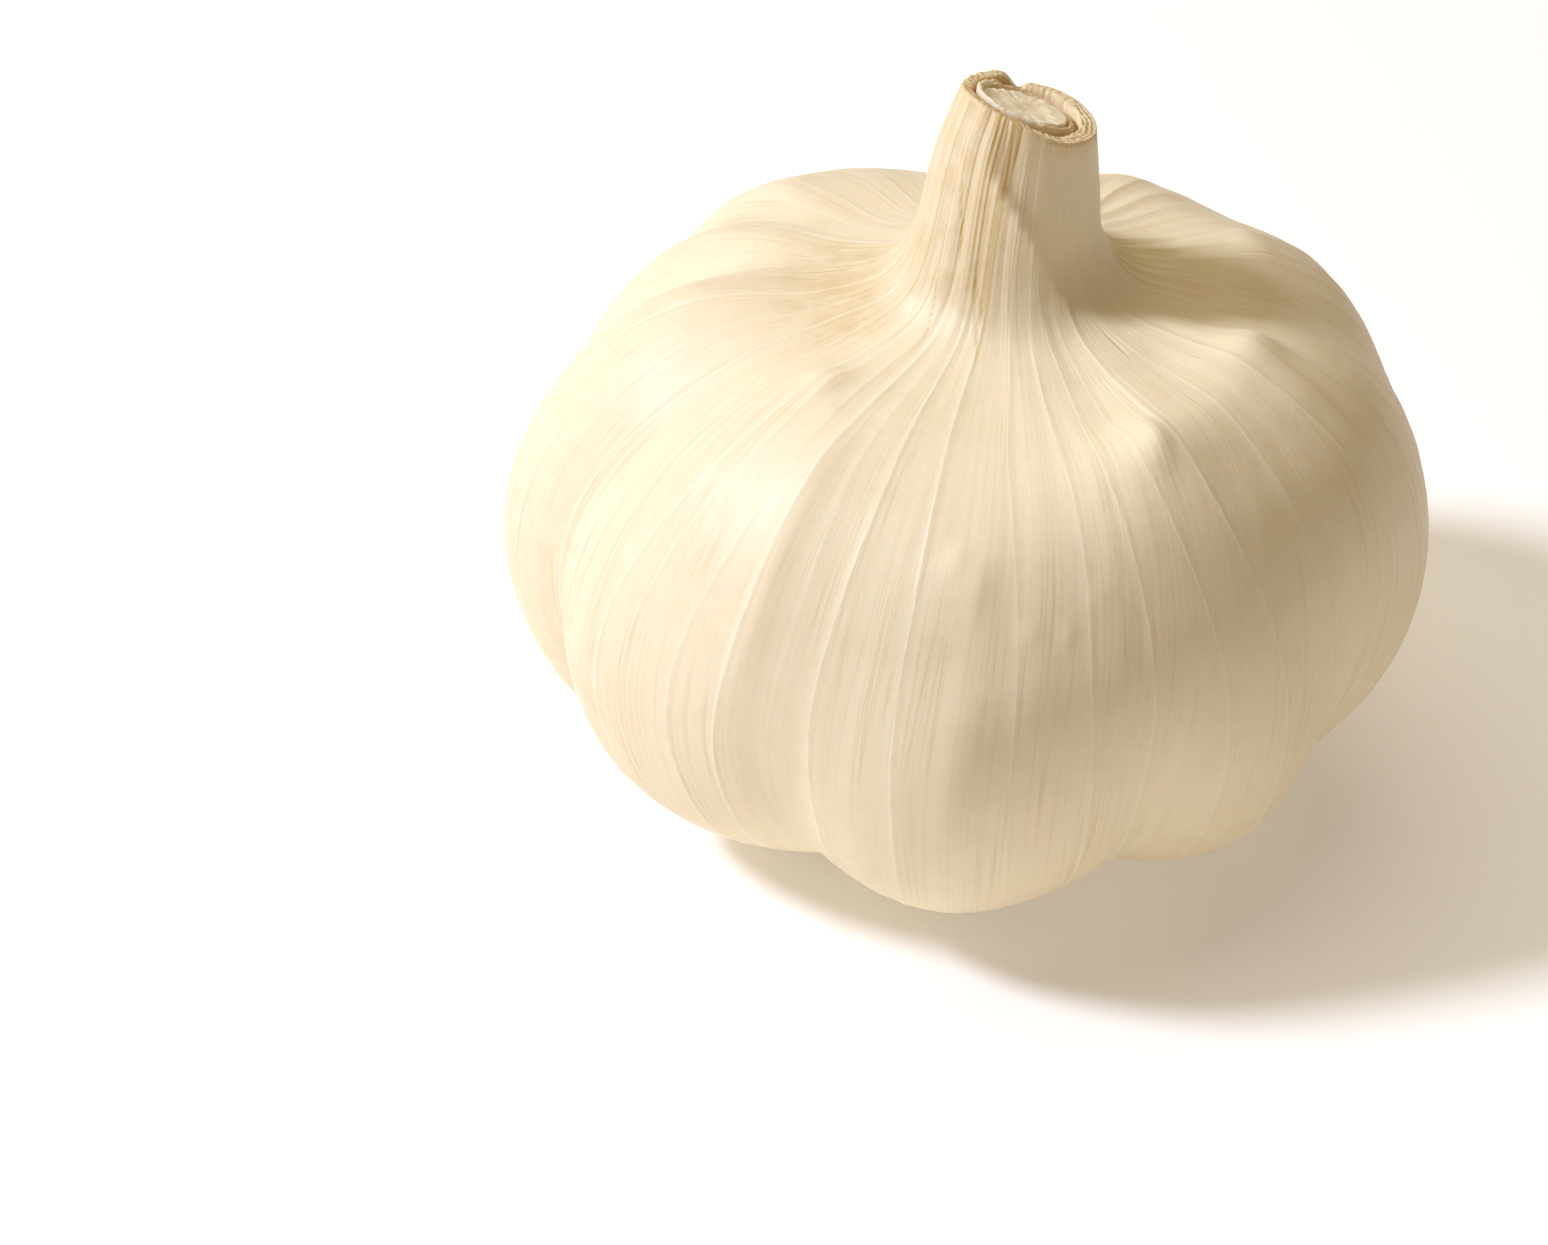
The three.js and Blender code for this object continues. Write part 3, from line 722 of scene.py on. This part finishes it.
def root_cork(name, pale, dark):
    """Corky brown, cracked and dusty; the table named cut gives the paler faces of trimmed roots."""
    material = new_material(name)
    place = place_in_metres(material)
    mottle = noise(material, place, 380, 5, 0.65)
    grit = noise(material, place, 2400, 3)
    cracks = add_node(material, "ShaderNodeTexVoronoi", {"Vector": place, "Scale": 700.0},
                      feature="DISTANCE_TO_EDGE").outputs[0]
    crack = one_less(material, ramp(material, cracks, 0.02, 0.12))
    colour = blend(material, ramp(material, mottle, 0.35, 0.65), dark, pale)
    colour = tinted(material, colour, crack, 0.5, CORK_CRACK)
    colour = tinted(material, colour, ramp(material, grit, 0.6, 0.8), 0.4, CORK_GRIT)
    colour = tinted(material, colour, table(material, "cut"), 0.7, CORK_CUT)
    height = maths(material, "SUBTRACT", scaled(material, mottle, 2.0, grit), crack)
    rough = scaled(material, mottle, 0.15, 0.75)
    return finish(material, colour, rough, height, 0.00012)


skin_material = garlic_skin()
leaf_material = dried_leaf()
pith_material = stem_pith()
plate_material = root_cork("root_cork", PLATE_PALE, PLATE_DARK)
stub_material = root_cork("root_bark", STUB_PALE, STUB_DARK)

# ---- Pieces ------------------------------------------------------

SKIN_COLUMNS = 900
BELLY_ROWS = 24
CROWN_ROWS = 36
NECK_ROWS = 28
CROWN_FIRST_STATION = 5
NECK_FIRST_STATION = 8
RIM_ROWS = 12
RECESS_ROWS = SOCKET_ROWS = 3
# The cut's inner edge stands back from the socket and over the cut; the socket's wall starts lower.
CUT_EDGE_GAP = 0.12
CUT_EDGE_RISE = 0.1
SOCKET_EDGE_DEPTH = 0.6
LAYER_STEP = 0.42
LAYER_DEPTH = 0.16
LAYER_WANDER = 0.3
# Walls of the neck from which layers show at all and in full.
LAYERED_WALL = (0.7, 1.3)
CUT_RAGGED = 0.03
# Waves of the skin's edge at the cut and of its foot round the plate.
EDGE_WAVE = 0.02
EDGE_WAVE_START = 11.3
FOOT_WAVE = 0.2
FOOT_WAVE_END = 0.4
RUST_START = 11.55
RUST_FULL = 12.1
GROOVE_MOST = 1.5
# Tan stains: strength, first and last azimuth with the fade, middle station and reach of the band.
STAIN_BANDS = [
    (1.6, (-112, -68, 20), 8.4, 0.75), (0.4, (-78, -58, 16), 4, 1.2), (0.12, (78, 165, 20), 7.4, 1.6),
]
NECK_STAIN_ZONE = (-120, -24, 30)
NECK_STAIN_START = (8.8, 10)

# Foot of the rolled leaf and of the heart, below the cut.
INNER_FOOT = SOCKET_DEPTH - 0.4

LEAF_COLUMNS = 420
LEAF_START = -150
LEAF_TURN = 380
LEAF_OUTER = 3.5
LEAF_WINDING = 0.5
LEAF_WINDING_SHARE = 0.55
LEAF_WALL = 0.42
LEAF_LEAST_WALL = 0.01
LEAF_TAPER = 0.04
# Share of the wall from the inside out, and depth below the rim, for each point of the leaf's section.
LEAF_SECTION = [
    (0, INNER_FOOT), (1, INNER_FOOT), (1, 1.2), (1, 0.35), (0.93, 0.12), (0.75, 0.02),
    (0.5, 0.0), (0.25, 0.04), (0.07, 0.15), (0, 0.4), (0, 1.2),
]
LEAF_HIGHEST = -60
LEAF_TILT = 0.2
LEAF_RISE = 0.04
LEAF_WAVE = 0.025
LEAF_ROUGH = 0.02
LEAF_ROUGH_DEPTH = 1.3
LEAF_BROWN_ZONE = (25, 215, 25)

HEART_COLUMNS = 240
HEART_ROWS = 44
HEART_FIRST_SHARE = 0.985
HEART_GAP = 0.1
HEART_LAP_MARGIN = 4
HEART_LAP_FADE = 18
HEART_WAIST = 1.6
HEART_EDGE_ROUND = 0.3
BOWL_EDGE = 0.08
BOWL_DEPTH = 0.22
BOWL_RISE_RIGHT = 0.08
# Pits of the heart: place to the right and to the back, reach and strength.
MAIN_PIT = (0.5, 0.1, 0.9, 1)
SIDE_PIT = (1.2, -1.2, 0.55, 0.6)
MAIN_PIT_DEPTH = 0.14
SIDE_PIT_DEPTH = 0.1

PLATE_COLUMNS = 240
# Radius and height of the plate from the middle of its flat spot round to the middle of its top.
PLATE_PROFILE = np.array([
    (0, 0), (5.9, 0), (6.35, 0.12), (6.8, 0.45), (7.4, 1.1), (9.2, 1.6), (9.8, 2.3), (9.85, 3.8), (9.6, 4.15),
    (0, 4.15),
])
PLATE_LAST_FINE_POINT = 6
PLATE_FINE_ROWS = 60
PLATE_COARSE_ROWS = 12
PLATE_COARSE_GAP = 0.5
PLATE_LUMPS_END = (2.2, 3.0)
RING_SCAR_DEPTH = 0.08
RING_SCAR_STEP = 1.3
PRESS_LEVEL = 0.2

STUB_COUNT = 220
STUB_SIDES = 7
STUB_INNER_RADIUS = 6.75
STUB_OUTER_RADIUS = 9.45
STUB_TOP = 2.7
GOLDEN_TURN = 137.508
STUB_HALF_WIDTHS = (0.2, 0.42)
STUB_ENDS = (0.12, 1.0)
STUB_SPLAY = 24
STUB_SWING = 14
# Share of a root's length and of its thickness for each row: a pole, the rings and the pole of the cut.
STUB_ROWS = [(0, 0), (0, 1.0), (0.35, 1.0), (0.7, 0.92), (0.93, 0.88), (1, 0.8), (1, 0.45), (0.97, 0)]
STUB_CUT_ROW = 5


def ring_azimuths(columns):
    return np.arange(columns) * 360.0 / columns


def crumble(points, wavelength, seed, terms=28):
    """Smooth lumps in space: a sum of plane waves in random directions with lengths about the given
    one, scaled to a height of about 1."""
    rng = np.random.default_rng(seed)
    directions = rng.normal(size=(terms, 3))
    directions /= np.linalg.norm(directions, axis=1, keepdims=True)
    waves = directions * (math.tau / (wavelength * rng.uniform(0.6, 1.6, (terms, 1))))
    return np.cos(points @ waves.T + rng.uniform(0, math.tau, terms)).sum(-1) / math.sqrt(terms)


def cut_face(azimuth, rim):
    """Rows across the skin's cut from its outer edge to the socket: a straight blend of the two edges,
    less a cosine groove between each pair of dry layers, and ragged all round."""
    inner = neck_point(azimuth, np.full_like(azimuth, SOCKET_RADIUS + CUT_EDGE_GAP), -CUT_EDGE_RISE)
    inner[:, 2] += rim_waves(azimuth)
    wall = np.linalg.norm(rim - inner, axis=-1)
    across = np.linspace(0, 1, RIM_ROWS)[1:, None]
    rows = rim + (inner - rim) * across[..., None]
    layer = across * wall / LAYER_STEP + LAYER_WANDER * ripple(azimuth, 2 * across, 2, 14, seed=34)
    shown = smoothstep(wall, *LAYERED_WALL)
    groove = (0.5 - 0.5 * np.cos(math.tau * layer)) * shown * np.minimum(1, 4 * across)
    ragged = CUT_RAGGED * ripple(azimuth, 9 * across, 10, 60, seed=31, terms=30)
    rows[..., 2] += ragged - LAYER_DEPTH * groove
    return rows


def skin_stains(azimuth, station):
    """A bell along the station for each band, kept between its azimuths, and the tan of the neck's left
    from its foot upwards."""
    bands = sum(strength * window(azimuth, *zone) * bell((station - middle) / reach)
                for strength, zone, middle, reach in STAIN_BANDS)
    return bands + window(azimuth, *NECK_STAIN_ZONE) * smoothstep(station, *NECK_STAIN_START)


def make_skin():
    """The skin's grid, closed at both ends: from the recess over the plate, up the outside, across the
    cut and down the wall of the socket to its floor."""
    azimuth = ring_azimuths(SKIN_COLUMNS)
    stations = np.concatenate([
        np.linspace(0, CROWN_FIRST_STATION, BELLY_ROWS, endpoint=False),
        np.linspace(CROWN_FIRST_STATION, NECK_FIRST_STATION, CROWN_ROWS, endpoint=False),
        np.linspace(NECK_FIRST_STATION, CUT_STATION, NECK_ROWS),
    ])
    grid_azimuth, grid_station = np.meshgrid(azimuth, stations)
    outside = skin_point(grid_azimuth, grid_station)
    near_cut = smoothstep(stations, EDGE_WAVE_START, CUT_STATION)[:, None]
    near_foot = (1 - smoothstep(stations, 0, FOOT_WAVE_END))[:, None]
    outside[..., 2] += near_cut * EDGE_WAVE * ripple(azimuth, 0, 4, 16, seed=32, terms=20)
    outside[..., 2] += near_foot * FOOT_WAVE * ripple(azimuth, 0, 9, 50, seed=33)
    face = cut_face(azimuth, outside[-1])
    ring = np.zeros(SKIN_COLUMNS)

    def recess(radius, height):
        return on_axis(azimuth, ring + radius, ring + height)[None]

    rows = np.concatenate([
        recess(0, RECESS_CEILING), recess(RECESS_RADIUS, RECESS_CEILING), recess(RECESS_RADIUS, RECESS_EDGE),
        outside, face,
        neck_point(azimuth, ring + SOCKET_RADIUS, SOCKET_EDGE_DEPTH)[None],
        neck_point(azimuth, ring + SOCKET_RADIUS, SOCKET_DEPTH)[None],
        neck_point(azimuth, ring, SOCKET_DEPTH)[None],
    ])
    row_station = np.concatenate([
        np.zeros(RECESS_ROWS), stations, np.full(RIM_ROWS - 1 + SOCKET_ROWS, CUT_STATION)])
    all_azimuth, all_station = np.meshgrid(azimuth, row_station)
    radius = profile(all_station)[..., 0]
    rim = smoothstep(all_station, RUST_START, RUST_FULL)
    rim[RECESS_ROWS + len(stations):] = 1
    aside, strength = nearest_vein(all_azimuth, all_station, radius)
    tables = {
        "station": all_station,
        "vein": strength * bell(aside / VEIN_REACH),
        "aside": aside,
        # The creases' mask also places their golden tint, which is partly painted shade.
        "groove": np.clip(groove_mask(all_azimuth, all_station, radius), 0, GROOVE_MOST),
        "rim": rim,
        "stain": skin_stains(all_azimuth, all_station),
    }
    grid_piece("bulb_skin", rows, skin_material, "wrapped_bulb", tables,
               first_pole=True, last_pole=True)


def leaf_radius(azimuth):
    """Outer radius of the rolled leaf at an azimuth counted from its start: it winds inwards over its
    second half."""
    return LEAF_OUTER - LEAF_WINDING * smoothstep((azimuth - LEAF_START) / LEAF_TURN, LEAF_WINDING_SHARE, 1)


def leaf_rise(azimuth):
    """Height of the leaf's rim over the cut: high in front on the left, low at the back on the right."""
    tilt = LEAF_TILT * np.cos(np.radians(azimuth - LEAF_HIGHEST))
    return tilt + LEAF_RISE + LEAF_WAVE * ripple(azimuth, 0, 4, 20, seed=41)


def make_rolled_leaf():
    """A strip rolled a little more than once round: at each azimuth a closed section with a rounded rim,
    pinched to a point at both ends of the strip."""
    azimuth = np.linspace(LEAF_START, LEAF_START + LEAF_TURN, LEAF_COLUMNS)
    share = np.linspace(0, 1, LEAF_COLUMNS)
    taper = smoothstep(share, 0, LEAF_TAPER)
    wall = LEAF_WALL * taper * (1 - smoothstep(share, 1 - LEAF_TAPER, 1)) + LEAF_LEAST_WALL
    out, depth = np.array(LEAF_SECTION).T
    radius = leaf_radius(azimuth)[:, None] - wall[:, None] * (1 - out)
    wide_azimuth = np.broadcast_to(azimuth[:, None], radius.shape)
    near_rim = smoothstep(LEAF_ROUGH_DEPTH - depth, 0, 1)
    rise = leaf_rise(azimuth)[:, None] * near_rim
    rough = LEAF_ROUGH * ripple(wide_azimuth + 7 * out, 0, 20, 60, seed=42, terms=20) * near_rim
    points = neck_point(wide_azimuth, radius, depth - rise - rough)
    points = points[:, ::-1]
    brown = np.broadcast_to(window(azimuth, *LEAF_BROWN_ZONE)[:, None], radius.shape)
    grid_piece("rolled_leaf", points, leaf_material, "inner_sheath", {"brown": brown},
               first_pole=True, last_pole=True)


def heart_pit(flat, right, back, reach, strength):
    """A round bell at the pit's place."""
    return strength * bell(np.hypot(flat[..., 0] - right, flat[..., 1] - back) / reach)


def make_stem_heart():
    """A plug inside the roll whose top is a parabolic bowl up to the roll's rim, with two pits and lumps."""
    azimuth = ring_azimuths(HEART_COLUMNS)
    edge = leaf_radius(LEAF_START + (azimuth - LEAF_START) % 360) - LEAF_WALL - HEART_GAP
    lap = window(azimuth, LEAF_START - HEART_LAP_MARGIN, LEAF_START + LEAF_TURN - 360 + HEART_LAP_MARGIN,
                 HEART_LAP_FADE)
    edge = edge - lap * (edge - (LEAF_OUTER - LEAF_WINDING - LEAF_WALL - HEART_GAP))
    share = np.concatenate([[0, 1, 1, 1], np.linspace(HEART_FIRST_SHARE, 0.0, HEART_ROWS)])
    radius = share[:, None] * edge
    wide_azimuth = np.broadcast_to(azimuth, radius.shape)
    angle = np.radians(wide_azimuth)
    flat = np.stack([radius * np.sin(angle), -radius * np.cos(angle), np.zeros_like(radius)], -1)
    pit, side_pit = heart_pit(flat, *MAIN_PIT), heart_pit(flat, *SIDE_PIT)
    bowl = share[:, None]**2
    depth = ((BOWL_EDGE - leaf_rise(azimuth)) * bowl + BOWL_DEPTH * (1 - bowl)
             + MAIN_PIT_DEPTH * pit + SIDE_PIT_DEPTH * side_pit
             + 0.03 * crumble(flat, 1.2, seed=51) + 0.008 * crumble(flat, 0.35, seed=52)
             - BOWL_RISE_RIGHT * flat[..., 0])
    depth[:2] = INNER_FOOT
    depth[2] = HEART_WAIST
    depth[3] += HEART_EDGE_ROUND
    points = neck_point(wide_azimuth, radius, depth)
    hollow = np.clip(pit + side_pit + 0.35 * crumble(flat, 1.1, seed=53), 0, 1)
    grid_piece("stem_heart", points, pith_material, "neck_heart", {"hollow": hollow},
               first_pole=True, last_pole=True)


def make_corky_plate():
    """The plate's profile turned round, with lumps pressed into it so that the flat spot stays level."""
    length = np.concatenate([[0], np.cumsum(np.linalg.norm(np.diff(PLATE_PROFILE, axis=0), axis=1))])
    last_fine = length[PLATE_LAST_FINE_POINT]
    along = np.concatenate([np.linspace(0, last_fine, PLATE_FINE_ROWS),
                            np.linspace(last_fine + PLATE_COARSE_GAP, length[-1], PLATE_COARSE_ROWS)])
    radius = np.interp(along, length, PLATE_PROFILE[:, 0])[:, None]
    height = np.interp(along, length, PLATE_PROFILE[:, 1])[:, None]
    azimuth = ring_azimuths(PLATE_COLUMNS)[None]
    points = on_axis(azimuth, radius + 0 * azimuth, height + 0 * azimuth)
    lumps = 0.16 * crumble(points, 2.2, seed=61) + 0.09 * crumble(points, 0.8, seed=62)
    wander = 0.8 * crumble(points, 4.0, seed=63)
    ring_scars = RING_SCAR_DEPTH * np.cos(math.tau * radius / RING_SCAR_STEP + wander)
    press = np.maximum(lumps + ring_scars + PRESS_LEVEL, 0) * smoothstep(radius, 0.1, 1.0)
    exposed = 1 - smoothstep(height, *PLATE_LUMPS_END)
    points[..., 2] += press * exposed
    grid_piece("corky_plate", points, plate_material, "root_plate",
               {"cut": np.zeros(points.shape[:2])}, first_pole=True, last_pole=True)


def make_root_stubs():
    """Trimmed roots on a sunflower spiral over the plate's flank: each a tapered tube bent outwards by a
    parabola, closed at both ends, with a slightly dished paler cut."""
    rng = np.random.default_rng(71)
    number = np.arange(STUB_COUNT)
    share = (number + 0.5) / STUB_COUNT
    area = STUB_OUTER_RADIUS**2 - STUB_INNER_RADIUS**2
    start = np.sqrt(STUB_INNER_RADIUS**2 + area * share) + rng.uniform(-0.15, 0.15, STUB_COUNT)
    azimuth = np.radians(number * GOLDEN_TURN) + rng.uniform(-0.03, 0.03, STUB_COUNT)
    thick = rng.uniform(*STUB_HALF_WIDTHS, STUB_COUNT)
    end = rng.uniform(*STUB_ENDS, STUB_COUNT)
    splay = np.radians(rng.uniform(0, STUB_SPLAY, STUB_COUNT))
    swing = np.radians(rng.uniform(-STUB_SWING, STUB_SWING, STUB_COUNT))
    along, width = np.array(STUB_ROWS).T
    outward = np.stack([np.sin(azimuth), -np.cos(azimuth), 0 * azimuth], -1)
    sideways = np.stack([np.cos(azimuth), np.sin(azimuth), 0 * azimuth], -1)
    lean = np.tan(splay) * (STUB_TOP - end)
    drop = along * (STUB_TOP - end)[:, None]
    centre = (outward[:, None] * (start[:, None] + lean[:, None] * along**2)[..., None]
              + sideways[:, None] * (np.tan(swing)[:, None] * drop)[..., None])
    centre[..., 2] = STUB_TOP - drop
    angle = np.arange(STUB_SIDES) * math.tau / STUB_SIDES
    oval = 1 + 0.15 * np.sin(2 * angle + azimuth[:, None, None])
    ring = thick[:, None, None] * width[None, :, None] * oval
    points = (centre[:, :, None] + outward[:, None, None] * (ring * np.cos(angle))[..., None]
              + sideways[:, None, None] * (ring * np.sin(angle))[..., None])
    cut = np.broadcast_to((np.arange(len(along)) >= STUB_CUT_ROW).astype(float)[None, :, None],
                          points.shape[:3])
    points = points[:, :, ::-1]
    tube_piece("root_stubs", points, stub_material, "root_plate", {"cut": cut})


make_skin()
make_rolled_leaf()
make_stem_heart()
make_corky_plate()
make_root_stubs()

# ---- Stage -------------------------------------------------------

CAMERA_ELEVATION = math.radians(34)
CAMERA_DISTANCE = 0.430
LENS_PX = 5805
FRAME_PX = (1548, 1245)
AIM_PX = (972, 534)
AIM_HEIGHT = 0.020
PX_PER_METRE = LENS_PX / CAMERA_DISTANCE
NEAR_CLIP = 0.01
LIGHT_AIM = Vector((0, 0, 0.03))
FLOOR_HALF = 3.0
FLOOR_COLOUR = (0.91, 0.89, 0.85, 1)
FLOOR_GLOW = (1.0, 0.97, 0.92, 1)
FLOOR_GLOW_STRENGTH = 0.22
WORLD_COLOUR = (1, 0.65, 0.29, 1)
WORLD_STRENGTH = 0.132


def make_camera():
    """The camera looks down at 34 degrees, without shift: the aim is moved so that a point on the bulb's
    axis falls at its place in the frame."""
    back = Vector((0, -math.cos(CAMERA_ELEVATION), math.sin(CAMERA_ELEVATION)))
    right = Vector((1, 0, 0))
    up = back.cross(right)
    aim = Vector((0, 0, AIM_HEIGHT))
    aim -= right * (AIM_PX[0] - FRAME_PX[0] / 2) / PX_PER_METRE
    aim -= up * (FRAME_PX[1] / 2 - AIM_PX[1]) / PX_PER_METRE
    data = bpy.data.cameras.new("camera")
    data.sensor_width = 36
    data.lens = LENS_PX * data.sensor_width / FRAME_PX[0]
    data.clip_start = NEAR_CLIP
    camera = bpy.data.objects.new("camera", data)
    camera.matrix_world = Matrix.Translation(aim + back * CAMERA_DISTANCE) @ Matrix(
        (right, up, back)).transposed().to_4x4()
    bpy.context.scene.collection.objects.link(camera)
    bpy.context.scene.camera = camera


def area_light(name, direction, distance, size, power, colour):
    data = bpy.data.lights.new(name, "AREA")
    data.shape = "DISK"
    data.size = size
    data.energy = power
    data.color = colour
    light = bpy.data.objects.new(name, data)
    toward = Vector(direction).normalized()
    light.location = LIGHT_AIM + toward * distance
    light.rotation_euler = toward.to_track_quat("Z", "Y").to_euler()
    bpy.context.scene.collection.objects.link(light)


def make_floor():
    mesh = bpy.data.meshes.new("floor")
    half = FLOOR_HALF
    corners = [(-half, -half, 0), (half, -half, 0), (half, half, 0), (-half, half, 0)]
    mesh.from_pydata(corners, [], [(0, 1, 2, 3)])
    floor = bpy.data.objects.new("floor", mesh)
    bpy.context.scene.collection.objects.link(floor)
    material = new_material("pale_floor")
    surface = add_node(material, "ShaderNodeBsdfPrincipled", {
        "Base Color": FLOOR_COLOUR, "Roughness": 0.8,
        "Emission Color": FLOOR_GLOW, "Emission Strength": FLOOR_GLOW_STRENGTH})
    add_node(material, "ShaderNodeOutputMaterial", {"Surface": surface.outputs[0]})
    mesh.materials.append(material)


def make_world():
    world = bpy.data.worlds.new("studio")
    world.use_nodes = True
    background = world.node_tree.nodes["Background"]
    background.inputs["Color"].default_value = WORLD_COLOUR
    background.inputs["Strength"].default_value = WORLD_STRENGTH
    bpy.context.scene.world = world


make_camera()
make_floor()
area_light("key", direction=(-0.70, -0.06, 0.68), distance=1.1, size=0.22, power=12.3,
           colour=(0.775, 0.815, 1.0))
area_light("overhead", direction=(-0.1, 0.2, 1.0), distance=1.2, size=1.2, power=6.1,
           colour=(1.0, 0.92, 0.74))
make_world()
bpy.context.scene.view_settings.view_transform = "Standard"
